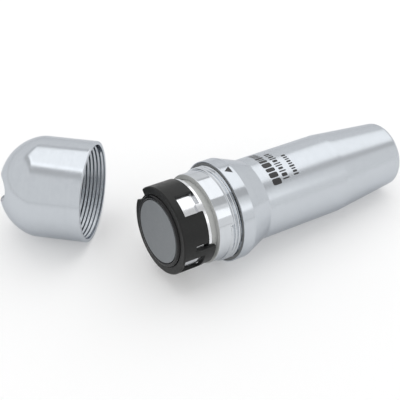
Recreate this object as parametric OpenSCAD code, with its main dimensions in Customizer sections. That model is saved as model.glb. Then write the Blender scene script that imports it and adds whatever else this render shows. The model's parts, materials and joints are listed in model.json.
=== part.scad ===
// Round pocket stamp, pre-inked, with a turned metal case and a screw cap that lies beside it.
// The stamp lies on its collar and on the rear edge of its barrel, the cap on its own side.
// All sizes in millimetres. Each half is drawn along its own axis and then laid down.
// Stamp axis: z = 0 at the printing face, +z towards the tail.
// Cap axis: z = 0 at the rim, +z towards the tip.
// Angles round the stamp ("clock") are counted from the upper side towards the -Y side.

/* [Barrel] */
// Distance from the printing face to the front of the collar
collar_front = 19.7; // [19:0.1:21]
// Radius of the collar, the widest part
collar_r = 15.5; // [15:0.1:17]
// Length of the collar's cylindrical band
collar_len = 4.0; // [2:0.5:6]
// Length of the cone from the collar down to the grip
cone_len = 7.6; // [5:0.2:12]
// Radius of the cylindrical grip
grip_r = 12.6; // [12.2:0.1:14]
// Length of the cylindrical grip
grip_len = 29.8; // [20:0.1:45]
// Length of the tail cone, without its rounded edge
tail_len = 22.8; // [12:0.1:30]
// Radius of the tail at its end
tail_r = 10.3; // [8:0.1:11]
// Radius of the rounded edge at the end of the tail
tail_round = 1.5; // [0.6:0.1:2]

/* [Neck] */
// Distance from the printing face to the front of the neck
neck_front = 12.4; // [12:0.1:13]
// Outer radius of the neck's plain front
neck_r = 13.65; // [13.5:0.05:13.8]
// Outer radius of the neck's threaded rear, over which the cap screws
thread_r = 14.25; // [14.1:0.05:14.3]
// Radius of the guide bore in the neck
guide_bore_r = 12.05; // [12.02:0.01:12.08]

/* [Printing unit] */
// Radius of the printing face
die_r = 9.5; // [8:0.1:9.5]
// Outer radius of the black clip ring
ring_r = 13.32; // [13:0.02:13.4]
// Distance from the printing face to the front of the clip ring
ring_front = 0.7; // [0.3:0.1:1]
// Distance from the printing face to the rear edge of the clip ring
ring_rear = 8.9; // [8.5:0.1:9.1]
// Travel of the printing unit when the stamp is pressed down
press_travel = 1.0; // [0.5:0.1:1]
// Turn of the clip ring between locked and free, in degrees
ring_twist = 18; // [10:1:18]

/* [Cap] */
// Outer radius of the cap
cap_r = 15.5; // [15.3:0.1:16]
// Length of the cap from rim to tip
cap_len = 28.6; // [28.5:0.1:30]
// Length of the cap's cylindrical part
cap_straight = 16.0; // [15:0.5:17]
// Radius of the cap's bore at the bottom of its thread
cap_thread_r = 14.4; // [14.35:0.05:14.5]
// Radius of the plain bore behind the thread
cap_bore_r = 14.0; // [13.8:0.05:14.1]
// Width of the slot across the tip
slot_w = 8.2; // [6:0.1:9]
// Depth of the slot across the tip
slot_depth = 4.6; // [3:0.1:4.8]

/* [Where the two halves lie] */
// Printing face's centre, along X
stamp_x = -27.5; // [-40:0.1:0]
// Stamp's axis, along Y
stamp_y = -19.0; // [-40:0.1:0]
// Cap rim's centre, along X
cap_x = -32.8; // [-60:0.1:0]
// Cap rim's centre, along Y
cap_y = 9.5; // [5:0.1:60]
// Direction from the cap's rim to its tip, in degrees from +X
cap_yaw = 136.1; // [90:0.1:180]

/* [Hidden] */

$fn = 96;
gap = 0.05;             // between faces that meet
run = 0.07;             // radial play of a running fit

collar_back = collar_front + collar_len;
grip_front = collar_back + cone_len;
grip_back = grip_front + grip_len;
tail_edge = grip_back + tail_len;
// The stamp's tilt: collar and grip edge both touch the table.
tilt = asin((collar_r - grip_r) / (grip_back - collar_back));
stamp_z = collar_r * cos(tilt) + collar_back * sin(tilt);

chamfer = 0.3;
gasket_depth = 0.4;
gasket_r = 15.1;
thread_front = 16.4;
shank_r = 12.6;
shank_back = 27.1;
spring_bore_r = 10.9;
disc_front = 34;
disc_back = 37;
deep_bore_r = 9.8;
deep_bore_back = 58;

tube_r = 12.25;         // carrier under the clip ring
tube_front = 2.05;
tube_back = 25.5;
cassette_bore_r = 10.95;
web_front = 17.4;
web_back = 19.0;
flange_r = 13.0;
flange_front = 9.2;
flange_back = 10.1;
ring_inner_r = 12.35;
ring_hole_r = 11.0;
ring_wall = 1.25;       // thickness of the clip ring's front wall
ring_chamfer = 0.35;

window_clock = 11;      // first edge of the first window
window_turn = 30;       // width of a window
window_front = 3.15;
shut_window_front = 1.3;
shut_window_root_r = 12.05;
shut_window_back = 8.0;
slit_clock = 82;
slit_turn = 8;
slit_front = 4.6;
tab_clock = 90;
tab_turn = 35;
tab_margin = 4;         // clock turn left free on each side of a tab
tab_back = neck_front - press_travel - 0.1;
lug_clock = 30;
lug_turn = 10.5;
lug_front = 7.9;
lug_r = 12.95;
groove_r = 11.85;       // groove of the carrier in front of its flange
notch_root_r = 11.35;
notch_depth = 2.9;      // depth of the index notch along the axis

die_back = 3.0;
rim_r = 10.85;          // outer radius of the glossy rim and of the ink cassette
rim_back = 6.0;
pad_front = die_back + 0.1;
cup_front = rim_back + 0.1;
cup_back = 15.9;
cup_wall = 1.1;
felt_r = 9.7;
felt_back = cup_back - cup_wall - 0.1;

screw_r = 2.5;
screw_back = 39.0;
head_r = 4.2;
head_front = 16.1;
driver_slot_w = 1.0;
driver_slot_depth = 0.6;
clip_r = 4.8;
clip_thick = 0.9;
clip_opening = 50;      // open part of the retaining clip, in degrees
washer_r = 10.2;
washer_thick = 0.8;
coil_r = 8.6;
wire_r = 0.65;
coils = 5;
coil_steps = 16;
wire_sides = 8;

cap_thread_back = 10.0; // depth at which the cap's thread ends
cap_wall_step = 17.5;   // depth at which the cap's bore starts to narrow
nose_r = 13.45;
nose_depth = 19.6;
seat_r = 11.3;
seat_depth = 22.4;
seal_front = 19.9;
liner_front = 21.1;
slot_turn = 23.5;       // direction of the slot across the tip
dome_steps = 24;

// Points of a round edge in a profile, from one angle to another.
function arc(cx, cy, r, from, to, n = 8) =
    [for (i = [0 : n]) let (a = from + (to - from) * i / n) [cx + r * cos(a), cy + r * sin(a)]];

// Radius of the cap's dome at a share t of its length.
function dome_radius(t) = cap_r * pow(1 - pow(t, 1.6), 0.43);

module place_stamp() {
    translate([stamp_x, stamp_y, stamp_z]) rotate([0, 90 + tilt, 0]) children();
}

module place_cap() {
    translate([cap_x, cap_y, cap_r]) rotate([0, 90, cap_yaw]) children();
}

// Solid of revolution from a profile of [radius, z] points.
module turned(points) {
    rotate_extrude() polygon(points);
}

// Plain tube between two radii and two stations on the axis.
module tube(r_in, r_out, z0, z1) {
    rotate_extrude() translate([r_in, z0]) square([r_out - r_in, z1 - z0]);
}

// Wedge between two clock angles, from the axis outwards; it cuts windows and trims rings.
module wedge(clock, turn, r, z0, z1) {
    mid = clock + turn / 2;
    corners = [for (a = [clock, mid, clock + turn]) r * [cos(180 + a), sin(180 + a)]];
    translate([0, 0, z0]) linear_extrude(z1 - z0) polygon(concat([[0, 0]], corners));
}

// The part of a tube between two clock angles.
module sector(clock, turn, r_in, r_out, z0, z1) {
    intersection() {
        tube(r_in, r_out, z0, z1);
        wedge(clock, turn, 2 * r_out, z0 - 1, z1 + 1);
    }
}

// Turned case: collar, cone, grip and tail, bored from the front.
module barrel() {
    slope = atan((grip_r - tail_r) / tail_len);
    color([0.80, 0.81, 0.82]) place_stamp() turned(concat(
        [
            [deep_bore_r, deep_bore_back],
            [deep_bore_r, disc_back],
            [spring_bore_r, disc_back],
            [spring_bore_r, shank_back + gap],
            [shank_r + gap, shank_back + gap],
            [shank_r + gap, collar_front + gasket_depth],
            [gasket_r, collar_front + gasket_depth],
            [gasket_r, collar_front],
            [collar_r - chamfer, collar_front],
            [collar_r, collar_front + chamfer],
            [collar_r, collar_back],
            [grip_r, grip_front],
            [grip_r, grip_back]
        ],
        arc(tail_r - tail_round * cos(slope), tail_edge - tail_round * sin(slope), tail_round, slope, 90),
        [
            [0, tail_edge + tail_round * (1 - sin(slope))],
            [0, deep_bore_back + 2]
        ]
    ));
}

// Polished neck, pressed into the barrel; its rear half is the blank of the cap's thread.
module neck_sleeve() {
    seat = collar_front + gasket_depth - gap / 2;
    lead = thread_r - neck_r;
    color([0.88, 0.89, 0.90]) place_stamp() turned([
        [guide_bore_r, neck_front],
        [neck_r - chamfer, neck_front],
        [neck_r, neck_front + chamfer],
        [neck_r, thread_front],
        [thread_r, thread_front + lead],
        [thread_r, seat],
        [shank_r, seat],
        [shank_r, shank_back],
        [guide_bore_r, shank_back]
    ]);
}

// Flat gasket in the face of the collar, on which the cap's rim closes.
module collar_gasket() {
    color([0.33, 0.34, 0.35]) place_stamp()
        tube(thread_r + gap, gasket_r - gap, collar_front + gap, collar_front + gasket_depth - gap / 2);
}

// Disc that carries the spring's rear end and guides the screw.
module guide_disc() {
    color([0.72, 0.68, 0.50]) place_stamp()
        tube(screw_r + run, spring_bore_r - gap, disc_front, disc_back - gap);
}

// Bright carrier: a tube that slides in the neck, with a thrust flange and two bayonet lugs.
module carrier_tube() {
    clear_turn = tab_turn + ring_twist + 2 * tab_margin;
    reach = 2 * ring_r;
    color([0.90, 0.91, 0.92]) place_stamp() {
        difference() {
            turned([
                [cassette_bore_r, tube_front],
                [tube_r, tube_front],
                [tube_r, lug_front],
                [groove_r, lug_front],
                [groove_r, flange_front],
                [flange_r, flange_front],
                [flange_r, flange_back],
                [guide_bore_r - run, flange_back],
                [guide_bore_r - run, tube_back],
                [cassette_bore_r, tube_back],
                [cassette_bore_r, web_back],
                [screw_r, web_back],
                [screw_r, web_front],
                [cassette_bore_r, web_front]
            ]);
            for (side = [0, 180])
                intersection() {
                    tube(tube_r, ring_r + 1, flange_front - 1, flange_back + 1);
                    wedge(side + tab_clock - tab_margin, clear_turn, reach, flange_front - 1, flange_back + 1);
                }
        }
        for (side = [0, 180])
            sector(side + lug_clock, lug_turn, groove_r - 0.3, lug_r, lug_front, flange_front + 0.3);
    }
}

// Black bayonet ring that holds the printing unit: two open windows, two shut ones, two spring tabs.
module clip_ring() {
    reach = 2 * ring_r;
    color([0.13, 0.13, 0.13]) place_stamp() difference() {
        turned([
            [ring_hole_r, ring_front],
            [ring_r - ring_chamfer, ring_front],
            [ring_r, ring_front + ring_chamfer],
            [ring_r, tab_back],
            [ring_inner_r, tab_back],
            [ring_inner_r, ring_front + ring_wall],
            [ring_hole_r, ring_front + ring_wall]
        ]);
        for (side = [0, 180]) {
            wedge(side + window_clock, window_turn, reach, window_front, ring_rear + 1);
            sector(side + window_clock + 90, window_turn, shut_window_root_r, ring_r + 1,
                shut_window_front, shut_window_back);
            wedge(side + slit_clock, slit_turn, reach, slit_front, ring_rear + 1);
            wedge(side + tab_clock + tab_turn - 180, 180 - tab_turn, reach, ring_rear, tab_back + 1);
        }
        index_notch();
    }
}

// Slanted notch in the clip ring's front edge; it shows which way round the print is.
module index_notch() {
    clocks = [-51, -51, -67, -81];
    radii = [ring_r + 0.6, notch_root_r, notch_root_r, ring_r + 0.6];
    linear_extrude(ring_front + notch_depth)
        polygon([for (i = [0 : 3]) radii[i] * [cos(180 + clocks[i]), sin(180 + clocks[i])]]);
}

// Glossy rim round the printing face, rounded at the front.
module die_frame() {
    crown = (rim_r - die_r) / 2;
    color([0.07, 0.07, 0.08]) place_stamp() turned(concat(
        arc(rim_r - crown, crown + gap, crown, 180, 360),
        [[rim_r, rim_back], [die_r + gap, rim_back], [die_r + gap, crown + gap]]
    ));
}

// Printing die: a disc of micro-porous foam.
module printing_die() {
    color([0.47, 0.48, 0.50]) place_stamp() cylinder(r = die_r, h = die_back);
}

// Felt pad behind the die, full of ink.
module ink_pad() {
    color([0.12, 0.12, 0.16]) place_stamp()
        translate([0, 0, pad_front]) cylinder(r = die_r - 2 * gap, h = rim_back - pad_front);
}

// Cup that holds the reserve of ink.
module ink_cassette() {
    color([0.16, 0.16, 0.17]) place_stamp() difference() {
        translate([0, 0, cup_front]) cylinder(r = rim_r, h = cup_back - cup_front);
        translate([0, 0, cup_front - 1])
            cylinder(r = rim_r - cup_wall, h = cup_back - cup_wall - cup_front + 1);
    }
}

// Felt in the cup.
module reserve_felt() {
    color([0.10, 0.10, 0.14]) place_stamp()
        translate([0, 0, cup_front]) cylinder(r = felt_r, h = felt_back - cup_front);
}

// Screw from the carrier's web back through the guide disc.
module shoulder_screw() {
    color([0.62, 0.63, 0.65]) place_stamp() {
        difference() {
            translate([0, 0, head_front]) cylinder(r = head_r, h = web_front - gap - head_front);
            translate([-head_r - 1, -driver_slot_w / 2, head_front - 1])
                cube([2 * head_r + 2, driver_slot_w, 1 + driver_slot_depth]);
        }
        translate([0, 0, web_front - gap - 0.2])
            cylinder(r = screw_r - gap / 2, h = screw_back - web_front);
    }
}

// Open clip on the screw, behind the guide disc: it stops the carrier's forward travel.
module retaining_clip() {
    color([0.45, 0.45, 0.47]) place_stamp() difference() {
        tube(screw_r + gap / 2, clip_r, disc_back + gap, disc_back + clip_thick);
        wedge(-clip_opening / 2, clip_opening, 2 * clip_r, disc_back - 1, disc_back + clip_thick + 1);
    }
}

// Washer between the carrier's web and the spring.
module thrust_washer() {
    color([0.70, 0.70, 0.72]) place_stamp()
        tube(screw_r + 0.5, washer_r, web_back + gap, web_back + washer_thick);
}

// Coil spring that brings the printing unit forward again.
module return_spring() {
    z0 = web_back + washer_thick + gap + wire_r;
    z1 = disc_front - gap - wire_r;
    steps = coils * coil_steps;
    rings = [for (i = [0 : steps]) let (a = 360 * i / coil_steps, z = z0 + (z1 - z0) * i / steps)
        [for (j = [0 : wire_sides - 1]) let (b = 360 * j / wire_sides, r = coil_r + wire_r * cos(b))
            [r * cos(a), r * sin(a), z + wire_r * sin(b)]]];
    points = [for (ring = rings) for (p = ring) p];
    walls = [for (i = [0 : steps - 1]) for (j = [0 : wire_sides - 1])
        let (k = (j + 1) % wire_sides, here = i * wire_sides, next = here + wire_sides)
        [here + j, next + j, next + k, here + k]];
    ends = [[for (j = [0 : wire_sides - 1]) j],
            [for (j = [wire_sides - 1 : -1 : 0]) steps * wire_sides + j]];
    color([0.66, 0.67, 0.69]) place_stamp() polyhedron(points, concat(walls, ends), convexity = 10);
}

// Turned cap: straight skirt, domed end with a slot across its tip, stepped bore.
module cap_shell() {
    dome = cap_len - cap_straight;
    slot_r = (pow(slot_w / 2, 2) + pow(slot_depth, 2)) / (2 * slot_depth);
    color([0.80, 0.81, 0.82]) place_cap() difference() {
        turned(concat(
            [
                [cap_thread_r, 0],
                [cap_r - chamfer, 0],
                [cap_r, chamfer]
            ],
            [for (i = [0 : dome_steps - 1]) let (t = sin(90 * i / dome_steps))
                [dome_radius(t), cap_straight + dome * t]],
            [
                [0, cap_len],
                [0, seat_depth],
                [seat_r, seat_depth],
                [seat_r, nose_depth],
                [nose_r, nose_depth],
                [cap_bore_r, cap_wall_step],
                [cap_bore_r, cap_thread_back + cap_thread_r - cap_bore_r],
                [cap_thread_r, cap_thread_back]
            ]
        ));
        translate([0, 0, cap_len + slot_r - slot_depth]) rotate([0, 0, slot_turn])
            rotate([90, 0, 0]) cylinder(r = slot_r, h = 2 * cap_r, center = true);
    }
}

// Plastic insert at the bottom of the cap's bore, behind the seal.
module cap_liner() {
    color([0.14, 0.14, 0.15]) place_cap()
        translate([0, 0, liner_front]) cylinder(r = seat_r - gap, h = seat_depth - gap - liner_front);
}

// Soft disc that closes on the printing face so that the ink can't dry.
module cap_seal() {
    color([0.22, 0.22, 0.23]) place_cap()
        translate([0, 0, seal_front]) cylinder(r = seat_r - gap, h = liner_front - gap - seal_front);
}

barrel();
neck_sleeve();
collar_gasket();
guide_disc();
carrier_tube();
clip_ring();
die_frame();
printing_die();
ink_pad();
ink_cassette();
reserve_felt();
shoulder_screw();
retaining_clip();
thrust_washer();
return_spring();
cap_shell();
cap_liner();
cap_seal();
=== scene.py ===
"""Looks of a round pocket stamp and its screw cap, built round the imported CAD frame.

Lengths are worked out in millimetres along the axis of each half and laid down in metres.
"Station" is the distance along an axis. "Clock" is the angle round it in degrees, from the
upper side on the stamp and from the underside on the cap.
"""
import json
import math

import bpy
import numpy as np
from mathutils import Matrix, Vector


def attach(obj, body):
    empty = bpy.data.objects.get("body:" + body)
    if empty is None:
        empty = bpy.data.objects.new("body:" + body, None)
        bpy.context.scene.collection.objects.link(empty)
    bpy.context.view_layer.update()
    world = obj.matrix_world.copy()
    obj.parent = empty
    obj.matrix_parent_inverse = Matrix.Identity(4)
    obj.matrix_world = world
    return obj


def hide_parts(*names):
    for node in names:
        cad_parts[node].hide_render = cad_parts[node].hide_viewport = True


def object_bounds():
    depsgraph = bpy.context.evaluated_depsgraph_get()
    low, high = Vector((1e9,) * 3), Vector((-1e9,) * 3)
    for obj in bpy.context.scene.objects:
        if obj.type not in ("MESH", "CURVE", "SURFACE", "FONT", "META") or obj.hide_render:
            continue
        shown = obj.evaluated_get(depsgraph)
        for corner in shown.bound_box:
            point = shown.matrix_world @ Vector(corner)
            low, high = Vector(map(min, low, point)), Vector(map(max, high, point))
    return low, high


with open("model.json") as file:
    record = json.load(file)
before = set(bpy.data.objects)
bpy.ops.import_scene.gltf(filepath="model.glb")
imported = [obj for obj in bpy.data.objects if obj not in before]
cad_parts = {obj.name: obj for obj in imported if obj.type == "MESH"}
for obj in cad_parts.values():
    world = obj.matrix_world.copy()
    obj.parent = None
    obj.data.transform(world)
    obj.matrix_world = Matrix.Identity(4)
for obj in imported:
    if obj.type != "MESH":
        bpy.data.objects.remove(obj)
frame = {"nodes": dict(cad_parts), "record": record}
cad_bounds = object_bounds()

MM = 0.001
CREASE = 32     # degrees; an edge that is bent more than this stays sharp
MOUNTS = {mount["name"]: mount for mount in frame["record"]["mounts"]}


# ---------------------------------------------------------------- where the two halves lie

class Lie:
    """A half's own axes: origin, clock 0, clock 90 and the axis, in metres and unit vectors."""

    def __init__(self, origin, axis, clock_zero):
        self.origin = np.array(origin, float)
        self.axis = np.array(axis, float) / np.linalg.norm(axis)
        zero = np.array(clock_zero, float)
        zero = zero - zero.dot(self.axis) * self.axis
        self.zero = zero / np.linalg.norm(zero)
        self.quarter = np.cross(self.axis, self.zero)

    def points(self, radius, clock, station):
        """origin + station * axis + radius * (cos(clock) * zero + sin(clock) * quarter)."""
        turn = np.radians(clock)
        out = (np.cos(turn) * radius)[..., None] * self.zero
        out = out + (np.sin(turn) * radius)[..., None] * self.quarter
        out = out + station[..., None] * self.axis
        return self.origin + MM * out


CAP_MOUNT_DEPTH = 4.9   # station of the cap_mouth mount
face = MOUNTS["printing_face"]
mouth = MOUNTS["cap_mouth"]
STAMP = Lie(face["pos_m"], -np.array(face["axis"]), (0, 0, 1))
cap_axis = -np.array(mouth["axis"])
CAP = Lie(np.array(mouth["pos_m"]) - CAP_MOUNT_DEPTH * MM * cap_axis, cap_axis, (0, 0, -1))


# ---------------------------------------------------------------- meshes

def add_object(name, data):
    """New object in the scene that holds a mesh, a light or a camera."""
    made = bpy.data.objects.new(name, data)
    bpy.context.scene.collection.objects.link(made)
    return made


def volume(points, quads):
    """Signed volume of a closed surface: a sum of tetrahedra from the origin, two per quad."""
    a, b, c, d = (points[quads[:, i]] for i in range(4))
    one = np.einsum("ij,ij->i", a, np.cross(b, c)).sum()
    two = np.einsum("ij,ij->i", a, np.cross(c, d)).sum()
    return (one + two) / 6


def make_piece(name, points, quads, material, uv=None, crease=CREASE):
    """Mesh object from arrays of points and quads, turned so that its faces look outwards.

    A quad with a repeated corner becomes a triangle.
    """
    centred = points - points.mean(0)
    if volume(centred, quads) < 0:
        quads = quads[:, ::-1]
        uv = None if uv is None else uv[:, ::-1]
    keep = quads != np.roll(quads, -1, axis=1)
    counts = keep.sum(1)
    mesh = bpy.data.meshes.new(name)
    mesh.vertices.add(len(points))
    mesh.vertices.foreach_set("co", points.astype(np.float32).ravel())
    mesh.loops.add(int(counts.sum()))
    mesh.loops.foreach_set("vertex_index", quads[keep].astype(np.int32))
    mesh.polygons.add(len(quads))
    starts = np.concatenate([[0], np.cumsum(counts)[:-1]])
    mesh.polygons.foreach_set("loop_start", starts.astype(np.int32))
    mesh.update(calc_edges=True)
    if uv is not None:
        layer = mesh.uv_layers.new(name="turned")
        layer.data.foreach_set("uv", uv[keep].astype(np.float32).ravel())
    mesh.shade_smooth()
    mesh.set_sharp_from_angle(angle=math.radians(crease))
    mesh.materials.append(material)
    return add_object(name, mesh)


def without_unused(points, quads):
    """The points that the quads use, and the quads numbered over them."""
    used = np.unique(quads)
    renumber = np.zeros(len(points), int)
    renumber[used] = np.arange(len(used))
    return points[used], renumber[quads]


def wrapped_grid(points, poles):
    """Quads over a grid of points[clock, row], closed round the clock.

    With poles the first and the last row are single points on the axis, otherwise the rows
    close on each other too. Returns the points, the quads and their (turn, row) places.
    """
    turns, rows = points.shape[:2]
    index = np.arange(turns * rows).reshape(turns, rows)
    if poles:
        index[:, 0] = index[0, 0]
        index[:, -1] = index[0, -1]
        first, second = index[:, :-1], index[:, 1:]
    else:
        first, second = index, np.roll(index, -1, axis=1)
    ahead_first, ahead_second = np.roll(first, -1, axis=0), np.roll(second, -1, axis=0)
    quads = np.stack([first, ahead_first, ahead_second, second], -1).reshape(-1, 4)
    turn, row = np.meshgrid(np.arange(turns), np.arange(first.shape[1]), indexing="ij")
    places = np.stack([np.stack([turn, row], -1), np.stack([turn + 1, row], -1),
                       np.stack([turn + 1, row + 1], -1), np.stack([turn, row + 1], -1)], 2)
    return (*without_unused(points.reshape(-1, 3), quads), places.reshape(-1, 4, 2))


def over_turns(profile, turns):
    """Clock, radius and station of a profile of (radius, station) as arrays[turn, row]."""
    clock = np.arange(turns)[:, None] * 360 / turns
    return clock, profile[None, :, 0] + 0 * clock, profile[None, :, 1] + 0 * clock


def revolve(name, lie, radius, station, material, turns=192, poles=False, crease=CREASE):
    """Turned piece: the profile (radius, station) carried round the axis.

    Both may vary with the clock. The UV map holds the share of a turn and the length along the
    profile in millimetres.
    """
    clock = np.arange(turns) * 360 / turns
    radius = np.broadcast_to(radius, (turns, np.shape(radius)[-1]))
    station = np.broadcast_to(station, radius.shape)
    points = lie.points(radius, clock[:, None] + 0 * radius, station)
    points, quads, places = wrapped_grid(points, poles)
    out = np.diff(radius[0], append=radius[0, 0])
    along = np.diff(station[0], append=station[0, 0])
    length = np.concatenate([[0], np.cumsum(np.hypot(out, along))])
    uv = np.stack([places[..., 0] / turns, length[places[..., 1]]], -1)
    return make_piece(name, points, quads, material, uv, crease)


def rounded(corners, steps=6):
    """Profile through corners of (radius, station, rounding), each an arc tangent to its sides."""
    corners = [np.array(c, float) for c in corners]
    out = []
    for i, corner in enumerate(corners):
        before, after = corners[i - 1][:2], corners[(i + 1) % len(corners)][:2]
        p, r = corner[:2], corner[2]
        if r == 0:
            out.append(p[None])
            continue
        a = (before - p) / np.linalg.norm(before - p)
        b = (after - p) / np.linalg.norm(after - p)
        half = math.acos(np.clip(a.dot(b), -1, 1)) / 2
        reach = r / math.tan(half)
        centre = p + (a + b) / np.linalg.norm(a + b) * r / math.sin(half)
        start, end = p + a * reach - centre, p + b * reach - centre
        sweep = math.acos(np.clip(start.dot(end) / r ** 2, -1, 1))
        t = np.linspace(0, 1, steps + 1)[:, None]
        arc = (np.sin((1 - t) * sweep) * start + np.sin(t * sweep) * end) / math.sin(sweep)
        out.append(centre + arc)
    return np.concatenate(out)


def refined(profile, step=1.5, guard=0.12, closed=True):
    """Profile with rows added along its straight runs, and close to both ends of each run."""
    out = []
    count = len(profile) if closed else len(profile) - 1
    for i in range(count):
        a, b = profile[i], profile[(i + 1) % len(profile)]
        length = np.linalg.norm(b - a)
        shares = [0.0]
        if length > 4 * guard:
            pieces = max(1, int(round((length - 2 * guard) / step)))
            shares += list(np.linspace(guard, length - guard, pieces + 1) / length)
        out += [a + (b - a) * s for s in shares]
    if not closed:
        out.append(profile[-1])
    return np.array(out)


def straight(radius, start, end, count):
    """Profile of evenly spaced rows at one radius."""
    return np.stack([np.full(count, radius), np.linspace(start, end, count)], 1)


# Steps (clock, radius, station) round a grid face that looks along the clock, out or along.
FACE_STEPS = (
    ((0, 0, 0), (0, 0, 1), (0, 1, 1), (0, 1, 0)),
    ((0, 0, 0), (1, 0, 0), (1, 0, 1), (0, 0, 1)),
    ((0, 0, 0), (0, 1, 0), (1, 1, 0), (1, 0, 0)),
)


def polar_blocks(name, lie, clocks, radii, stations, filled, material, warp=None):
    """Closed skin of the filled cells of a polar grid (clock, radius, station).

    Cell (i, j, k) lies between clocks i and i+1, radii j and j+1, stations k and k+1. A face is
    drawn wherever a filled cell meets an empty one. warp(clock, radius, station) may bend the
    grid.
    """
    turns = len(clocks)
    c, r, s = np.meshgrid(clocks, radii, stations, indexing="ij")
    if warp:
        c, r, s = warp(c, r, s)
    points = lie.points(r, c, s)
    index = np.arange(c.size).reshape(c.shape)
    padded = (np.pad(filled, ((1, 0), (0, 0), (0, 0)), mode="wrap"),
              np.pad(filled, ((0, 0), (1, 1), (0, 0))),
              np.pad(filled, ((0, 0), (0, 0), (1, 1))))
    quads = []
    for axis, (cells, steps) in enumerate(zip(padded, FACE_STEPS)):
        count = cells.shape[axis]
        here, before = cells.take(range(1, count), axis), cells.take(range(count - 1), axis)
        for inside, way in ((here & ~before, 1), (before & ~here, -1)):
            i, j, k = np.nonzero(inside)
            corners = [index[(i + di) % turns, j + dj, k + dk] for di, dj, dk in steps]
            quads.append(np.stack(corners, 1)[:, ::way])
    points, quads = without_unused(points.reshape(-1, 3), np.concatenate(quads))
    return make_piece(name, points, quads, material)


def second_finish(piece, material, chosen):
    """Gives a second material to the stamp's faces that the test of (radius, station) picks."""
    mesh = piece.data
    centres = np.zeros(len(mesh.polygons) * 3, np.float32)
    mesh.polygons.foreach_get("center", centres)
    offset = (centres.reshape(-1, 3) - STAMP.origin) / MM
    station = offset @ STAMP.axis
    radius = np.linalg.norm(offset - station[:, None] * STAMP.axis, axis=1)
    mesh.materials.append(material)
    mesh.polygons.foreach_set("material_index", chosen(radius, station).astype(np.int32))
    return piece


def clock_marks(features, step=3.0, least=0.8):
    """Clocks of a polar grid: the features' own, and every step that isn't too near one."""
    features = np.unique(np.round(np.mod(features, 360), 4))
    plain = np.arange(0, 360, step)
    apart = np.abs((plain[:, None] - features[None] + 180) % 360 - 180).min(1)
    return np.sort(np.concatenate([features, plain[apart > least]]))


def both_ends(clock_spans):
    """Edges of clock spans and of their twins half a turn round."""
    return [edge + side for side in (0, 180) for edges in clock_spans for edge in edges]


def between(values, low, high):
    """True for the clock angles that lie on the turn from low to high."""
    return np.mod(values - low, 360) < np.mod(high - low, 360)


def on_both_sides(values, clock_span):
    """True for the clock angles in a span or in its twin half a turn round."""
    low, high = clock_span
    return between(values, low, high) | between(values, low + 180, high + 180)


def cell_middles(clocks):
    """Clock angle in the middle of each cell of a closed polar grid."""
    return clocks + np.diff(clocks, append=clocks[0] + 360) / 2


def soften(piece, width_mm, segments=2, angle=35):
    """Rounds a moulded or pressed piece's edges with a small bevel."""
    bevel = piece.modifiers.new("soft_edges", "BEVEL")
    bevel.width = width_mm * MM
    bevel.segments = segments
    bevel.limit_method = "ANGLE"
    bevel.angle_limit = math.radians(angle)
    bevel.harden_normals = True
    return piece


# ---------------------------------------------------------------- nodes

def new_group(name, inputs, outputs):
    """Empty shader group with named sockets: (name, type, default) in and (name, type) out."""
    group = bpy.data.node_groups.new(name, "ShaderNodeTree")
    for label, kind, default in inputs:
        socket = group.interface.new_socket(name=label, in_out="INPUT", socket_type=kind)
        if default is not None:
            socket.default_value = default
    for label, kind in outputs:
        group.interface.new_socket(name=label, in_out="OUTPUT", socket_type=kind)
    return group, group.nodes.new("NodeGroupInput"), group.nodes.new("NodeGroupOutput")


def node(tree, kind, links=None, **settings):
    """Node of a kind with its settings, and inputs given as values or as sockets to link."""
    made = tree.nodes.new(kind)
    for key, value in settings.items():
        setattr(made, key, value)
    for key, value in (links or {}).items():
        if isinstance(value, bpy.types.NodeSocket):
            tree.links.new(value, made.inputs[key])
        else:
            made.inputs[key].default_value = value
    return made


def group_node(tree, group, links):
    """Node that runs one of the shared groups."""
    return node(tree, "ShaderNodeGroup", links, node_tree=group)


def maths(tree, operation, a, b=0.0, clamp=False):
    """Result socket of a two-input Math node."""
    made = node(tree, "ShaderNodeMath", {0: a, 1: b}, operation=operation, use_clamp=clamp)
    return made.outputs[0]


def span(tree, value, low, high, to_low=0.0, to_high=1.0):
    """Result of a smooth Map Range from low..high."""
    links = {0: value, 1: low, 2: high, 3: to_low, 4: to_high}
    return node(tree, "ShaderNodeMapRange", links, interpolation_type="SMOOTHSTEP").outputs[0]


def noise(tree, **inputs):
    """Noise value: along a line when it is given W, otherwise at the place in Vector."""
    dimensions = "1D" if "W" in inputs else "3D"
    return node(tree, "ShaderNodeTexNoise", inputs, noise_dimensions=dimensions).outputs["Fac"]


def weighted(tree, first, first_weight, second, second_weight):
    """Sum of two masks by their weights, held between 0 and 1."""
    return maths(tree, "ADD", maths(tree, "MULTIPLY", first, first_weight),
                 maths(tree, "MULTIPLY", second, second_weight), clamp=True)


def mixed_colour(tree, share, a, b):
    """Colour from a to b by share; each is an RGB triple or a colour socket."""
    ends = [end if isinstance(end, bpy.types.NodeSocket) else (*end, 1) for end in (a, b)]
    links = {"Factor": share, "A": ends[0], "B": ends[1]}
    return node(tree, "ShaderNodeMix", links, data_type="RGBA").outputs["Result"]


# ---------------------------------------------------------------- effects the materials share

def build_turning_lines():
    """Fine rings left by the lathe: noise of the length along the profile, at two spacings."""
    group, ins, outs = new_group(
        "turning_lines",
        [("Length", "NodeSocketFloat", 0.0), ("Lines per mm", "NodeSocketFloat", 6.0)],
        [("Height", "NodeSocketFloat"), ("Tone", "NodeSocketFloat")])
    fine = maths(group, "MULTIPLY", ins.outputs["Length"], ins.outputs["Lines per mm"])
    lines = noise(group, W=fine, Scale=1.0, Detail=2.0)
    bands = noise(group, W=maths(group, "MULTIPLY", fine, 0.17), Scale=1.0, Detail=1.0)
    group.links.new(lines, outs.inputs["Height"])
    group.links.new(maths(group, "MULTIPLY", lines, bands), outs.inputs["Tone"])
    return group


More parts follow.
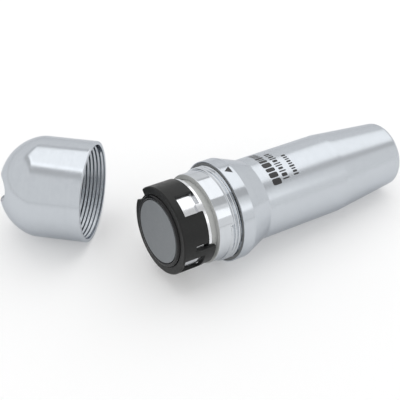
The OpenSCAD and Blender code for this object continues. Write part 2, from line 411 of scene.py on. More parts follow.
def build_handling():
    """Faint smudges and cloudy patches from being handled: two sizes of soft noise."""
    group, ins, outs = new_group(
        "handling",
        [("Place", "NodeSocketVector", None), ("Size", "NodeSocketFloat", 90.0)],
        [("Smudge", "NodeSocketFloat")])
    place, size = ins.outputs["Place"], ins.outputs["Size"]
    large = noise(group, Vector=place, Scale=size, Detail=3.0, Roughness=0.6, Distortion=0.6)
    small = noise(group, Vector=place, Scale=maths(group, "MULTIPLY", size, 5.0), Detail=2.0)
    smudge = span(group, maths(group, "MULTIPLY", large, small), 0.12, 0.42)
    group.links.new(smudge, outs.inputs["Smudge"])
    return group


def build_grain():
    """Fine grain of moulded plastic, foam, felt or fibre: cells and noise of one grain size."""
    group, ins, outs = new_group(
        "grain",
        [("Place", "NodeSocketVector", None), ("Grains per m", "NodeSocketFloat", 4000.0),
         ("Pores", "NodeSocketFloat", 0.0)],
        [("Height", "NodeSocketFloat"), ("Speckle", "NodeSocketFloat")])
    place, grains = ins.outputs["Place"], ins.outputs["Grains per m"]
    lumps = noise(group, Vector=place, Scale=grains, Detail=3.0, Roughness=0.65)
    cells = node(group, "ShaderNodeTexVoronoi", {"Vector": place, "Scale": grains})
    pits = maths(group, "SUBTRACT", span(group, cells.outputs["Distance"], 0.0, 0.35), 1.0)
    height = maths(group, "ADD", lumps, maths(group, "MULTIPLY", pits, ins.outputs["Pores"]))
    group.links.new(height, outs.inputs["Height"])
    group.links.new(span(group, height, 0.3, 0.75), outs.inputs["Speckle"])
    return group


def build_edge_wear_and_highlight():
    """Mask of worn outer edges with a painted edge highlight: how convex the surface is, broken up
    by noise.
    """
    group, ins, outs = new_group(
        "edge_wear_and_highlight",
        [("Convex", "NodeSocketFloat", 0.5), ("Place", "NodeSocketVector", None),
         ("From", "NodeSocketFloat", 0.52), ("To", "NodeSocketFloat", 0.6)],
        [("Wear and highlight", "NodeSocketFloat")])
    patches = noise(group, Vector=ins.outputs["Place"], Scale=900.0, Detail=2.0)
    edge = node(group, "ShaderNodeMapRange",
                {0: ins.outputs["Convex"], 1: ins.outputs["From"], 2: ins.outputs["To"]})
    broken = maths(group, "MULTIPLY", edge.outputs[0], span(group, patches, 0.25, 0.6))
    group.links.new(broken, outs.inputs["Wear and highlight"])
    return group


TURNING_LINES = build_turning_lines()
HANDLING = build_handling()
GRAIN = build_grain()
EDGE_WEAR_AND_HIGHLIGHT = build_edge_wear_and_highlight()


# ---------------------------------------------------------------- materials

METAL_EDGE_TINT = (0.72, 0.73, 0.75, 1)


def new_material(name):
    """Material with nodes: the material, its tree, its shader and its texture coordinates."""
    material = bpy.data.materials.new(name)
    material.use_nodes = True
    tree = material.node_tree
    return material, tree, tree.nodes["Principled BSDF"], tree.nodes.new("ShaderNodeTexCoord")


def add_smudge(tree, place, size):
    """Smudge mask of a given number of patches per metre."""
    links = {"Place": place.outputs["Object"], "Size": size}
    return group_node(tree, HANDLING, links).outputs["Smudge"]


def add_relief(tree, shader, height, depth_mm):
    """Bump of the shader's surface by a height mask."""
    bump = node(tree, "ShaderNodeBump",
                {"Height": height, "Distance": depth_mm * MM, "Strength": 1.0})
    tree.links.new(bump.outputs[0], shader.inputs["Normal"])


def add_uneven_roughness(tree, shader, smudge, rough, rough_span):
    """Roughness that rises by rough_span where the surface is smudged."""
    uneven = maths(tree, "ADD", maths(tree, "MULTIPLY", smudge, rough_span), rough)
    tree.links.new(uneven, shader.inputs["Roughness"])


def turned_metal(name, colour, dark, rough, rough_span, lines_per_mm, line_depth, turned_uv=True):
    """Metal from the lathe: rings that follow the profile, and smudges in tone and roughness."""
    material, tree, shader, place = new_material(name)
    shader.inputs["Metallic"].default_value = 1.0
    shader.inputs["Specular Tint"].default_value = METAL_EDGE_TINT
    smudge = add_smudge(tree, place, 110.0)
    source = place.outputs["UV" if turned_uv else "Object"]
    length = node(tree, "ShaderNodeSeparateXYZ", {0: source}).outputs["Y"]
    if not turned_uv:
        length = maths(tree, "MULTIPLY", length, 1000.0)
    rings = group_node(tree, TURNING_LINES, {"Length": length, "Lines per mm": lines_per_mm})
    share = weighted(tree, rings.outputs["Tone"], 0.9, smudge, 0.35)
    tree.links.new(mixed_colour(tree, share, colour, dark), shader.inputs["Base Color"])
    add_uneven_roughness(tree, shader, smudge, rough, rough_span)
    add_relief(tree, shader, rings.outputs["Height"], line_depth)
    return material


def grained(name, colour, light, rough, grains, depth_mm, pores=0.0, sheen=0.0, wear_and_highlight=None,
            specular=0.5):
    """Plastic, foam, felt or fibre: grain in colour and relief, an optional sheen, and an optional
    worn edge with a painted highlight.
    """
    material, tree, shader, place = new_material(name)
    links = {"Place": place.outputs["Object"], "Grains per m": grains, "Pores": pores}
    grain = group_node(tree, GRAIN, links)
    smudge = add_smudge(tree, place, 160.0)
    share = weighted(tree, grain.outputs["Speckle"], 0.6, smudge, 0.4)
    tone = mixed_colour(tree, share, colour, light)
    # convex edges get a lighter colour: partly wear, partly a painted edge highlight
    if wear_and_highlight:
        convex = tree.nodes.new("ShaderNodeNewGeometry").outputs["Pointiness"]
        links = {"Convex": convex, "Place": place.outputs["Object"]}
        tone = mixed_colour(tree, group_node(tree, EDGE_WEAR_AND_HIGHLIGHT, links).outputs["Wear and highlight"], tone, wear_and_highlight)
    tree.links.new(tone, shader.inputs["Base Color"])
    add_uneven_roughness(tree, shader, smudge, rough, 0.12)
    shader.inputs["Specular IOR Level"].default_value = specular
    shader.inputs["Sheen Weight"].default_value = sheen
    add_relief(tree, shader, grain.outputs["Height"], depth_mm)
    return material


SATIN = turned_metal(
    "satin_aluminium", (0.560, 0.590, 0.625), (0.520, 0.550, 0.585),
    rough=0.15, rough_span=0.05, lines_per_mm=7.0, line_depth=0.0006)
SATIN_GRIP = turned_metal(
    "satin_grip", (0.560, 0.590, 0.625), (0.530, 0.560, 0.595),
    rough=0.23, rough_span=0.03, lines_per_mm=7.0, line_depth=0.0002)
POLISHED = turned_metal(
    "polished_neck", (0.62, 0.645, 0.675), (0.57, 0.595, 0.62),
    rough=0.07, rough_span=0.04, lines_per_mm=5.0, line_depth=0.0004)
BRIGHT = turned_metal(
    "bright_carrier", (0.80, 0.81, 0.83), (0.73, 0.74, 0.76),
    rough=0.14, rough_span=0.08, lines_per_mm=3.0, line_depth=0.0008, turned_uv=False)
# grey matt face between bright metal parts: partly its own finish, partly painted shade of faces
# that turn away from the light
MATT_FACE_AND_SHADE = grained(
    "matt_face_and_shade", (0.44, 0.45, 0.44), (0.50, 0.51, 0.50), rough=0.42, grains=3000, depth_mm=0.001)
# black moulding: its lighter convex edges are partly wear, partly a painted edge highlight
MOULDING = grained(
    "black_moulding", (0.008, 0.0085, 0.0085), (0.015, 0.0155, 0.015),
    rough=0.38, grains=2600, depth_mm=0.002, wear_and_highlight=(0.04, 0.04, 0.04), specular=0.26)
GLOSS_RIM = grained(
    "black_gloss_rim", (0.004, 0.004, 0.005), (0.007, 0.007, 0.008),
    rough=0.25, grains=2200, depth_mm=0.0005, specular=0.3)
DIE_FOAM = grained(
    "die_foam", (0.160, 0.173, 0.185), (0.205, 0.218, 0.230),
    rough=0.62, grains=5200, depth_mm=0.010, pores=0.5, sheen=0.15, specular=0.35)
INK_FELT = grained(
    "ink_felt", (0.010, 0.010, 0.016), (0.030, 0.030, 0.040),
    rough=0.9, grains=3800, depth_mm=0.03, sheen=0.5)
# dark grey gasket: partly the fibre's own colour, partly painted shade on the step in front of the
# collar
GASKET = grained(
    "gasket_fibre", (0.150, 0.155, 0.155), (0.205, 0.210, 0.210),
    rough=0.55, grains=3600, depth_mm=0.006)
INNER_PLASTIC = grained(
    "inner_plastic", (0.020, 0.020, 0.022), (0.035, 0.035, 0.038),
    rough=0.45, grains=2400, depth_mm=0.004)
SEAL_FOAM = grained(
    "seal_foam", (0.030, 0.030, 0.033), (0.060, 0.060, 0.064),
    rough=0.8, grains=3400, depth_mm=0.02, pores=0.6)
PRINT_INK = grained(
    "print_ink", (0.012, 0.012, 0.013), (0.022, 0.022, 0.024),
    rough=0.38, grains=5000, depth_mm=0.001)
BRASS = turned_metal(
    "turned_brass", (0.72, 0.56, 0.30), (0.62, 0.47, 0.24),
    rough=0.24, rough_span=0.1, lines_per_mm=4.0, line_depth=0.001, turned_uv=False)
STEEL = turned_metal(
    "plain_steel", (0.52, 0.53, 0.55), (0.44, 0.45, 0.47),
    rough=0.28, rough_span=0.1, lines_per_mm=4.0, line_depth=0.001, turned_uv=False)
SPRING = turned_metal(
    "spring_steel", (0.46, 0.47, 0.49), (0.34, 0.35, 0.37),
    rough=0.30, rough_span=0.12, lines_per_mm=8.0, line_depth=0.001, turned_uv=False)


# ---------------------------------------------------------------- case: barrel, neck and gasket

COLLAR_R, GRIP_R, TAIL_R = 15.5, 12.6, 10.164
COLLAR_FRONT, COLLAR_BACK, GRIP_FRONT, GRIP_BACK, TAIL_END = 19.7, 23.7, 31.3, 61.1, 85.25
GASKET_SEAT_R, GASKET_SEAT = 15.1, 20.1
SHANK_SEAT_R, SHANK_SEAT = 12.65, 27.15
SPRING_BORE_R, DISC_BACK = 10.9, 37
DEEP_BORE_R, DEEP_BORE_BACK, DRILL_TIP = 9.8, 58, 60

NECK_R, NECK_BORE_R, SHANK_R = 13.65, 12.05, 12.6
NECK_FRONT, PLAIN_BACK, NECK_SEAT, SHANK_BACK = 12.4, 15.9, 20.075, 27.1
NECK_STEPS = 288

PITCH = 1.15
NECK_RIDGE, NECK_RIDGE_TURNS, NECK_RIDGE_CLOCK, NECK_RIDGE_START = 0.59, 3.9, 71, 16.05
CAP_RIDGE, CAP_RIDGE_TURNS, CAP_RIDGE_CLOCK, CAP_RIDGE_START = 0.38, 8.2, 250, 0.45
THREAD_CREASE = 80      # the ridges are smooth, so only the pieces' own edges stay sharp


def helix_ridge(clock, station, start_clock, start, turns, sharpness=1.0):
    """Height share of a screw ridge that starts at (start_clock, start) and runs right-handed.

    The phase grows by one each pitch along the axis and falls by one each turn round it. The
    height is 1 - (cos^2 of the half phase)^sharpness: a higher sharpness leaves a narrower groove.
    """
    phase = (station - start) / PITCH - np.mod(clock - start_clock, 360) / 360
    inside = np.clip(phase * 4, 0, 1) * np.clip((turns - phase) * 4, 0, 1)
    groove = (0.5 + 0.5 * np.cos(2 * math.pi * phase)) ** sharpness
    return inside * (1 - groove)


def build_barrel():
    """Turned case: collar, cone, grip, tail and stepped bore, with its corners eased."""
    bore = [
        (0, DRILL_TIP, 0), (DEEP_BORE_R, DEEP_BORE_BACK, 0), (DEEP_BORE_R, DISC_BACK, 0),
        (SPRING_BORE_R, DISC_BACK, 0), (SPRING_BORE_R, SHANK_SEAT, 0),
        (SHANK_SEAT_R, SHANK_SEAT, 0), (SHANK_SEAT_R, GASKET_SEAT, 0),
        (GASKET_SEAT_R, GASKET_SEAT, 0),
    ]
    outside = [
        (GASKET_SEAT_R, COLLAR_FRONT, 0.06), (COLLAR_R, COLLAR_FRONT, 0.22),
        (COLLAR_R, COLLAR_BACK, 0.35), (GRIP_R, GRIP_FRONT, 1.0), (GRIP_R, GRIP_BACK, 2.0),
        (TAIL_R, TAIL_END, 1.5), (0, TAIL_END, 0),
    ]
    profile = refined(rounded(bore + outside, steps=8), closed=False)
    barrel = revolve("barrel_body", STAMP, profile[:, 0], profile[:, 1], SATIN,
                     turns=256, poles=True)
    return second_finish(barrel, SATIN_GRIP, lambda r, s: s > GRIP_FRONT)


def build_neck():
    """Polished neck: rounded front edge, plain band, then the cap's thread on its rear."""
    front = refined(rounded([
        (NECK_BORE_R, SHANK_BACK, 0), (NECK_BORE_R, NECK_FRONT, 0.12), (NECK_R, NECK_FRONT, 0.22),
        (NECK_R, PLAIN_BACK, 0),
    ]), closed=False)
    thread = straight(NECK_R, PLAIN_BACK + 0.05, COLLAR_FRONT, 96)
    rear = np.array([[NECK_R, NECK_SEAT], [SHANK_R, NECK_SEAT], [SHANK_R, SHANK_BACK]])
    profile = np.concatenate([front, thread, rear])
    clock, radius, station = over_turns(profile, NECK_STEPS)
    ridge = helix_ridge(clock, station, NECK_RIDGE_CLOCK, NECK_RIDGE_START, NECK_RIDGE_TURNS,
                        sharpness=1.2)
    outer = np.abs(radius - NECK_R) < 0.01
    ridge = ridge * outer * (station > PLAIN_BACK) * (station <= COLLAR_FRONT)
    neck = revolve("neck_thread", STAMP, radius + NECK_RIDGE * ridge, station, POLISHED,
                   turns=NECK_STEPS, crease=THREAD_CREASE)
    edge_r, edge_back = NECK_BORE_R + 0.05, NECK_FRONT + 0.06
    # the neck's front face gets the grey matt colour, partly painted shade
    return second_finish(neck, MATT_FACE_AND_SHADE, lambda r, s: (s < edge_back) & (r > edge_r))


def ring_piece(name, lie, material, inner, outer, front, back, ease):
    """Plain turned ring with eased corners."""
    corners = [(inner, front, ease), (outer, front, ease), (outer, back, ease),
               (inner, back, ease)]
    profile = refined(rounded(corners), guard=0.05)
    return revolve(name, lie, profile[:, 0], profile[:, 1], material)


def disc_piece(name, lie, material, outer, front, back, ease):
    """Turned disc with eased corners."""
    profile = rounded([(0, front, 0), (outer, front, ease), (outer, back, ease), (0, back, 0)])
    profile = refined(profile, closed=False, step=1.0, guard=0.06)
    return revolve(name, lie, profile[:, 0], profile[:, 1], material, poles=True)


# ---------------------------------------------------------------- printing unit

RING_R, RING_INNER_R, RING_HOLE_R = 13.32, 12.35, 11.0
RING_FRONT, RING_WALL_BACK, RING_REAR, TAB_BACK = 0.7, 1.95, 8.9, 11.3
RING_CHAMFER, RING_CHAMFER_BACK = 0.35, 1.05
# Clock spans of the ring's windows, slits and tabs, each with a twin half a turn round.
WINDOW, SHUT_WINDOW, SLIT, TAB = (11, 41), (101, 131), (82, 90), (90, 125)
WINDOW_FRONT, SHUT_WINDOW_FRONT, SHUT_WINDOW_BACK, SLIT_FRONT = 3.15, 1.3, 8.0, 4.6
NOTCH, NOTCH_ROOT_R = (-67, -51), 11.35
NOTCH_SLANT = 10.7      # clock by which the notch's far side leans over at the rim
SLANT_BEFORE, SLANT_AFTER = 13, 16      # clock over which the lean fades out on each side

SCREW_R, CASSETTE_BORE_R = 2.5, 10.95
GROOVE_R, GUIDE_R, TUBE_R, LUG_R = 11.85, 11.98, 12.25, 12.95
TUBE_FRONT, LUG_FRONT, FLANGE_FRONT, FLANGE_BACK = 2.05, 7.9, 9.2, 10.1
WEB_FRONT, WEB_BACK, TUBE_BACK = 17.4, 19.0, 25.5
LUG, FLANGE_GAP = (30, 40.5), (86, 147)     # clock spans, each with a twin half a turn round
MATT_AND_SHADE_FROM_R = 11.5      # radius beyond which the tube behind the flange is matt grey, partly painted shade

RIM_R, RIM_BORE_R, RIM_CROWN, RIM_CROWN_BACK, RIM_BACK = 10.85, 9.55, 0.675, 0.725, 6.0


def build_clip_ring():
    """Bayonet ring: a polar grid that leaves out its windows, slits, notch and tab gaps."""
    clocks = clock_marks(both_ends([WINDOW, SHUT_WINDOW, SLIT, TAB]) + list(NOTCH))
    radii = np.array([RING_HOLE_R, NOTCH_ROOT_R, RING_INNER_R, RING_R])
    stations = np.array([RING_FRONT, RING_CHAMFER_BACK, SHUT_WINDOW_FRONT, RING_WALL_BACK,
                         WINDOW_FRONT, SLIT_FRONT, SHUT_WINDOW_BACK, RING_REAR, TAB_BACK])
    middle = cell_middles(clocks)[:, None]
    station = (stations[1:] + stations[:-1])[None] / 2

    def opening(clock_span, front, back):
        """Cells of a pair of openings between two stations."""
        return on_both_sides(middle, clock_span) & (station > front) & (station < back)

    wall = ~opening(WINDOW, WINDOW_FRONT, RING_REAR) & ~opening(SLIT, SLIT_FRONT, RING_REAR)
    wall &= ~opening(SHUT_WINDOW, SHUT_WINDOW_FRONT, SHUT_WINDOW_BACK)
    wall &= (station < RING_REAR) | on_both_sides(middle, TAB)
    notch = between(middle, *NOTCH) & (station < RING_WALL_BACK)
    front = np.broadcast_to(station < RING_WALL_BACK, wall.shape)
    filled = np.stack([front, front & ~notch, wall & ~notch], 1)

    def warp(clock, radius, station):
        """The notch's far side slants outwards, and the front outer edge is chamfered."""
        off = np.mod(clock - NOTCH[0] + 180, 360) - 180
        near = np.where(off < 0, np.clip(1 + off / SLANT_BEFORE, 0, 1),
                        np.clip(1 - off / SLANT_AFTER, 0, 1))
        out = np.clip((radius - NOTCH_ROOT_R) / (RING_R - NOTCH_ROOT_R), 0, 1)
        clock = clock - NOTCH_SLANT * near * out * (station <= RING_WALL_BACK)
        ease = np.clip((RING_CHAMFER_BACK - station) / RING_CHAMFER, 0, 1) * (radius >= RING_R)
        return clock, radius - RING_CHAMFER * ease, station

    ring = polar_blocks("bayonet_ring", STAMP, clocks, radii, stations, filled, MOULDING, warp)
    return soften(ring, 0.13, segments=3)


def build_carrier():
    """Carrier: tube, web, thrust flange with room for the tabs, and two bayonet lugs."""
    clocks = clock_marks(both_ends([LUG, FLANGE_GAP]))
    radii = np.array([SCREW_R, CASSETTE_BORE_R, GROOVE_R, GUIDE_R, TUBE_R, LUG_R])
    stations = np.array([TUBE_FRONT, LUG_FRONT, FLANGE_FRONT, FLANGE_BACK, WEB_FRONT, WEB_BACK,
                         TUBE_BACK])
    middle = cell_middles(clocks)[:, None, None]
    radius = ((radii[1:] + radii[:-1]) / 2)[None, :, None]
    station = ((stations[1:] + stations[:-1]) / 2)[None, None]
    groove = (station > LUG_FRONT) & (station < FLANGE_FRONT)
    outer = np.where(station > FLANGE_BACK, GUIDE_R, np.where(groove, GROOVE_R, TUBE_R))
    tube = (radius > CASSETTE_BORE_R) & (radius < outer)
    web = (radius < CASSETTE_BORE_R) & (station > WEB_FRONT) & (station < WEB_BACK)
    flange = (radius > TUBE_R) & (station > FLANGE_FRONT) & (station < FLANGE_BACK)
    flange = flange & ~on_both_sides(middle, FLANGE_GAP)
    lug = on_both_sides(middle, LUG) & (radius > GROOVE_R) & groove
    filled = tube | web | flange | lug
    carrier = polar_blocks("carrier_body", STAMP, clocks, radii, stations, filled, BRIGHT)
    # the tube behind the flange gets the grey matt colour, partly painted shade
    second_finish(carrier, MATT_FACE_AND_SHADE, lambda r, s: (s > FLANGE_BACK + 0.02) & (r > MATT_AND_SHADE_FROM_R))
    return soften(carrier, 0.08)


def build_gloss_rim():
    """Glossy rim: a half-round front on a thin tube."""
    turn = np.linspace(math.pi, 2 * math.pi, 15)
    arc = np.stack([RIM_R - RIM_CROWN + RIM_CROWN * np.cos(turn),
                    RIM_CROWN_BACK + RIM_CROWN * np.sin(turn)], 1)
    rear = [[RIM_R, RIM_BACK], [RIM_BORE_R, RIM_BACK]]
    profile = refined(np.concatenate([arc, rear]), guard=0.1)
    return revolve("gloss_rim", STAMP, profile[:, 0], profile[:, 1], GLOSS_RIM)


# ---------------------------------------------------------------- cap

CAP_R, CAP_LEN, CAP_STRAIGHT, DOME_ROWS = 15.5, 28.6, 16.0, 104
CAP_THREAD_R, CAP_THREAD_FRONT, CAP_THREAD_BACK = 14.4, 0.3, 10.0
CAP_BORE_R, CAP_WALL_STEP = 14.0, 17.5
NOSE_R, NOSE_DEPTH, SEAT_R, SEAT_DEPTH = 13.45, 19.6, 11.3, 22.4
CAP_STEPS = 272
SLOT_W, SLOT_DEPTH, SLOT_TURN = 8.2, 4.6, 23.5
SLOT_R = ((SLOT_W / 2) ** 2 + SLOT_DEPTH ** 2) / (2 * SLOT_DEPTH)
FAR_AWAY = 99.0         # station of the slot's floor beside the slot, so that it cuts nothing


def dome_rows(count):
    """Rows of the dome, evenly spaced along its curve R(t) = R (1 - t^1.6)^0.43."""
    t = np.sin(np.linspace(0, math.pi / 2, 4000))
    radius = CAP_R * np.clip(1 - t ** 1.6, 0, 1) ** 0.43
    station = CAP_STRAIGHT + (CAP_LEN - CAP_STRAIGHT) * t
    length = np.concatenate([[0], np.cumsum(np.hypot(np.diff(radius), np.diff(station)))])
    even = np.linspace(0, length[-1], count)
    return np.stack([np.interp(even, length, radius), np.interp(even, length, station)], 1)


def soft_min(a, b, blend=0.07):
    """Smaller of two heights with a rounded crease: low - blend ln(1 + exp(-gap / blend))."""
    low, high = np.minimum(a, b), np.maximum(a, b)
    return low - blend * np.log1p(np.exp(-(high - low) / blend))


def build_cap():
    """Cap: straight skirt, domed end cut by a round slot, eased rim, threaded and stepped bore."""
    dome = dome_rows(DOME_ROWS)[::-1]
    rim = rounded([(CAP_R, CAP_STRAIGHT - 0.15, 0), (CAP_R, 0, 0.28), (CAP_THREAD_R, 0, 0.12),
                   (CAP_THREAD_R, CAP_THREAD_FRONT, 0)])
    skirt = refined(rim[:-1], closed=False, step=2.5)
    thread = straight(CAP_THREAD_R, CAP_THREAD_FRONT, CAP_THREAD_BACK, 150)
    bore = refined(rounded([
        (CAP_BORE_R, CAP_THREAD_BACK + 0.4, 0), (CAP_BORE_R, CAP_WALL_STEP, 0),
        (NOSE_R, NOSE_DEPTH, 0), (SEAT_R, NOSE_DEPTH, 0), (SEAT_R, SEAT_DEPTH, 0),
        (0, SEAT_DEPTH, 0),
    ]), closed=False, step=2.0)
    profile = np.concatenate([dome, skirt, thread, bore])
    clock, radius, station = over_turns(profile, CAP_STEPS)
    row = np.arange(len(profile))[None]

    across = radius * np.cos(np.radians(clock - SLOT_TURN))
    drop = np.sqrt(np.clip(SLOT_R ** 2 - across ** 2, 0, None))
    slot = np.where(np.abs(across) < SLOT_R, CAP_LEN + SLOT_R - SLOT_DEPTH - drop, FAR_AWAY)
    station = np.where(row < len(dome), soft_min(station, slot), station)

    thread_row = len(dome) + len(skirt)
    threaded = (row >= thread_row) & (row < thread_row + len(thread))
    run_out = np.clip((CAP_THREAD_BACK - 0.1 - station) / 0.4, 0, 1)
    ridge = helix_ridge(clock, station, CAP_RIDGE_CLOCK, CAP_RIDGE_START, CAP_RIDGE_TURNS)
    return revolve("cap_body", CAP, radius - CAP_RIDGE * ridge * threaded * run_out, station,
                   SATIN, turns=CAP_STEPS, poles=True, crease=THREAD_CREASE)


# ---------------------------------------------------------------- print on the case

INK_LIFT, INK_THICK = 0.002, 0.012
INDEX_CORNERS = [(1.3, 22.99), (6.7, 20.76), (11.7, 22.81)]     # clock and station
# Rows of bars: station, half height, first clock, space between bars, and for each bar half
# its width in degrees of clock and its share of the row's height.
BAR_ROWS = [
    (36.2, 1.55, 41.0, 1.5,
     [4.6, 4.0, 3.1, 4.4, 2.4, 1.0, 2.2, 1.2, 1.6, 1.0, 1.6],
     [1.0, 1.0, 1.0, 1.0, 0.9, 0.8, 0.9, 0.8, 0.8, 0.8, 0.8]),
    (39.7, 1.2, 37.0, 2.0,
     [1.0, 2.6, 1.0, 1.8, 1.0, 1.0, 2.2, 1.0, 1.6, 1.0, 1.6],
     [1.0, 0.8, 1.0, 0.7, 1.0, 1.0, 0.7, 1.0, 0.8, 1.0, 0.8]),
    (43.6, 0.95, 36.0, 1.7,
     [1.1, 1.6, 1.0, 1.4, 1.1, 1.5, 1.0, 1.2, 1.6],
     [1.0, 0.8, 0.8, 1.0, 0.8, 0.8, 0.8, 0.8, 0.8]),
]


def outline_bar(half_clock, half_station, power=5.0, steps=32):
    """Rounded bar: a superellipse |x|^power + |y|^power = 1 of clock and station."""
    a = np.linspace(0, 2 * math.pi, steps, endpoint=False)
    x, y = np.cos(a), np.sin(a)
    scale = (np.abs(x) ** power + np.abs(y) ** power) ** (-1 / power)
    return np.stack([half_clock * x * scale, half_station * y * scale], 1)


def outline_polygon(corners, per_side=8):
    """Straight-sided outline through corners of (clock, station)."""
    share = np.arange(per_side)[:, None] / per_side
    sides = [a + (b - a) * share for a, b in zip(corners, np.roll(corners, -1, axis=0))]
    return np.concatenate(sides)


def ink_shell(outline, centre, radius, rings=5):
    """Closed film of ink on a cylinder: the outline drawn in to its centre, below and above.

    Rows run from the centre out along the underside and back along the top.
    """
    share = np.concatenate([np.linspace(0, 1, rings), np.linspace(1, 0, rings)])
    low = radius + INK_LIFT
    level = np.concatenate([np.full(rings, low), np.full(rings, low + INK_THICK)])
    clock = centre[0] + outline[:, :1] * share[None]
    station = centre[1] + outline[:, 1:] * share[None]
    points = STAMP.points(level[None] + 0 * clock, clock, station)
    return wrapped_grid(points, poles=True)[:2]


def joined(name, shells, material):
    """One piece from several closed shells."""
    points, quads, base = [], [], 0
    for shell_points, shell_quads in shells:
        points.append(shell_points)
        quads.append(shell_quads + base)
        base += len(shell_points)
    return make_piece(name, np.concatenate(points), np.concatenate(quads), material, crease=50)


def build_index_mark():
    """Triangle on the collar that points to the printing face."""
    corners = np.array(INDEX_CORNERS)
    middle = corners.mean(0)
    shell = ink_shell(outline_polygon(corners - middle), middle, COLLAR_R)
    return joined("index_mark", [shell], PRINT_INK)


def build_print_rows():
    """Three rows of plain bars, standing in for a maker's print."""
    shells = []
    for station, half_height, clock, space, half_widths, heights in BAR_ROWS:
        for half_width, height in zip(half_widths, heights):
            outline = outline_bar(half_width, half_height * height)
            shells.append(ink_shell(outline, (clock - half_width, station), GRIP_R))
            clock -= 2 * half_width + space
    return joined("print_rows", shells, PRINT_INK)


# ---------------------------------------------------------------- pieces on their bodies

def place(piece, body, slot, *nodes):
    """Puts a piece on its body, in place of the nodes that it stands for; slot is not used."""
    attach(piece, body)
    if nodes:
        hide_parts(*nodes)


place(build_barrel(), "case", "satin_aluminium", "barrel")
place(build_neck(), "case", "polished_neck", "neck_sleeve")
# the gasket's dark colour is partly painted shade of the step
place(ring_piece("gasket_ring", STAMP, GASKET, inner=14.3, outer=15.05, front=19.75, back=20.07,
                 ease=0.05), "case", "gasket_fibre", "collar_gasket")
place(build_index_mark(), "case", "black_moulding")
place(build_print_rows(), "case", "black_moulding")
place(build_clip_ring(), "clip_ring", "black_moulding", "clip_ring")
place(build_carrier(), "carrier", "bright_carrier", "carrier_tube")
place(build_gloss_rim(), "carrier", "black_gloss_rim", "die_frame")
place(disc_piece("print_foam", STAMP, DIE_FOAM, outer=9.5, front=0.0, back=3.0, ease=0.12),
      "carrier", "die_foam", "printing_die")
place(build_cap(), "cap", "satin_aluminium", "cap_shell")
place(disc_piece("seal_disc", CAP, SEAL_FOAM, outer=11.25, front=19.95, back=21.05, ease=0.3),
      "cap", "seal_foam", "cap_seal")

CAD_FINISHES = {
    "guide_disc": BRASS, "ink_pad": INK_FELT, "ink_cassette": INNER_PLASTIC,
    "reserve_felt": INK_FELT, "shoulder_screw": STEEL, "retaining_clip": SPRING,
    "thrust_washer": STEEL, "return_spring": SPRING, "cap_liner": INNER_PLASTIC,
}
for name, material in CAD_FINISHES.items():
    for material_slot in frame["nodes"][name].material_slots:
        material_slot.material = material


# ---------------------------------------------------------------- floor, lights and camera

FLOOR_HALF = 3.0
FLOOR_LIT_NEAR, FLOOR_SHADED_FAR = (0.76, 0.76, 0.76), (0.58, 0.58, 0.58)
FLOOR_LIGHT_FALLOFF = (0.35, 0.9)        # metres from the object over which the painted light falls off
WALL_STRENGTH, CEILING_STRENGTH = 0.95, 0.64
HORIZON = 0.02                  # least height of a direction, so that x/z stays finite
CEILING_X = ((-0.66, -0.46), (2.8, 2.2))        # x/z where the ceiling begins and ends
CEILING_Y = ((-0.90, -0.68), (1.6, 1.2))        # y/z where the ceiling begins and ends


def add_floor():
    """Floor with painted light: its colour darkens gently with the distance from the object."""
    low = float(cad_bounds[0][2])
    mesh = bpy.data.meshes.new("floor")
    corners = [(x * FLOOR_HALF, y * FLOOR_HALF, low)
               for x, y in ((-1, -1), (1, -1), (1, 1), (-1, 1))]
    mesh.from_pydata(corners, [], [(0, 1, 2, 3)])
    material, tree, shader, coordinates = new_material("pale_floor")
    away = node(tree, "ShaderNodeVectorMath", {0: coordinates.outputs["Object"]},
                operation="LENGTH")
    # painted falloff of light: lighter near the object, darker far from it
    share = span(tree, away.outputs["Value"], *FLOOR_LIGHT_FALLOFF)
    tone = mixed_colour(tree, share, FLOOR_LIT_NEAR, FLOOR_SHADED_FAR)
    tree.links.new(tone, shader.inputs["Base Color"])
    shader.inputs["Emission Color"].default_value = (1, 1, 1, 1)
    shader.inputs["Emission Strength"].default_value = 0.20
    shader.inputs["Roughness"].default_value = 0.9
    shader.inputs["Specular IOR Level"].default_value = 0.1
    mesh.materials.append(material)
    floor = add_object("floor", mesh)


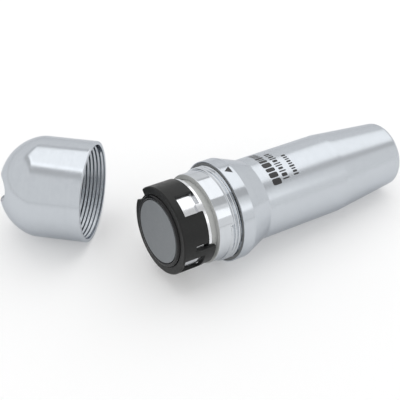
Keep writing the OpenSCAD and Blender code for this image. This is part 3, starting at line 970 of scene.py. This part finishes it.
def add_panel(name, centre, towards, size, radiance):
    """Soft box that shines with a given radiance: an area light that the camera doesn't see."""
    light = bpy.data.lights.new(name, "AREA")
    light.shape = "RECTANGLE"
    light.size, light.size_y = size
    light.energy = math.pi * size[0] * size[1] * radiance
    lamp = add_object(name, light)
    aim = (Vector(towards) - Vector(centre)).normalized()
    lamp.location = centre
    lamp.rotation_euler = aim.to_track_quat("-Z", "Y").to_euler()
    lamp.visible_camera = False


def build_world():
    """Pale room: bright walls and a greyer ceiling round the overhead soft box.

    The ceiling is where (x/z, y/z) of the direction lies in a rectangle with soft edges.
    """
    world = bpy.data.worlds.new("studio")
    bpy.context.scene.world = world
    world.use_nodes = True
    tree = world.node_tree
    direction = node(tree, "ShaderNodeTexCoord").outputs["Generated"]
    parts = node(tree, "ShaderNodeSeparateXYZ", {0: direction})
    height = maths(tree, "MAXIMUM", parts.outputs["Z"], HORIZON)

    def within(label, edges):
        """Mask of the directions whose slope along X or Y lies between soft edges."""
        slope = maths(tree, "DIVIDE", parts.outputs[label], height)
        return maths(tree, "MULTIPLY", span(tree, slope, *edges[0]), span(tree, slope, *edges[1]))

    ceiling = maths(tree, "MULTIPLY", within("X", CEILING_X), within("Y", CEILING_Y))
    back = node(tree, "ShaderNodeBackground", {"Color": (1, 1, 1, 1)})
    strength = span(tree, ceiling, 0.0, 1.0, WALL_STRENGTH, CEILING_STRENGTH)
    tree.links.new(strength, back.inputs["Strength"])
    tree.links.new(back.outputs[0], tree.nodes["World Output"].inputs["Surface"])


add_floor()
build_world()
add_panel("ceiling_panel", (0.84, 0.37, 1.0), (0.84, 0.37, 0.0), size=(2.36, 1.38), radiance=0.83)
add_panel("edge_strip", (-0.30, 0.2, 0.99), (-0.30, 0.2, 0.0), size=(0.10, 1.2), radiance=0.35)
add_panel("side_panel", (0.52, -0.95, 0.56), (0.0, 0.0, 0.02), size=(0.36, 0.42), radiance=0.6)

camera_data = bpy.data.cameras.new("camera")
camera_data.sensor_width = 36
camera_data.lens = 93.96
camera_data.clip_start, camera_data.clip_end = 0.01, 20
camera = add_object("camera", camera_data)
look = Vector((0.432585, 0.648466, -0.626388))
camera.location = (-0.143938, -0.215515, 0.212306)
camera.rotation_euler = look.to_track_quat("-Z", "Y").to_euler()
bpy.context.scene.camera = camera
bpy.context.scene.view_settings.view_transform = "Standard"
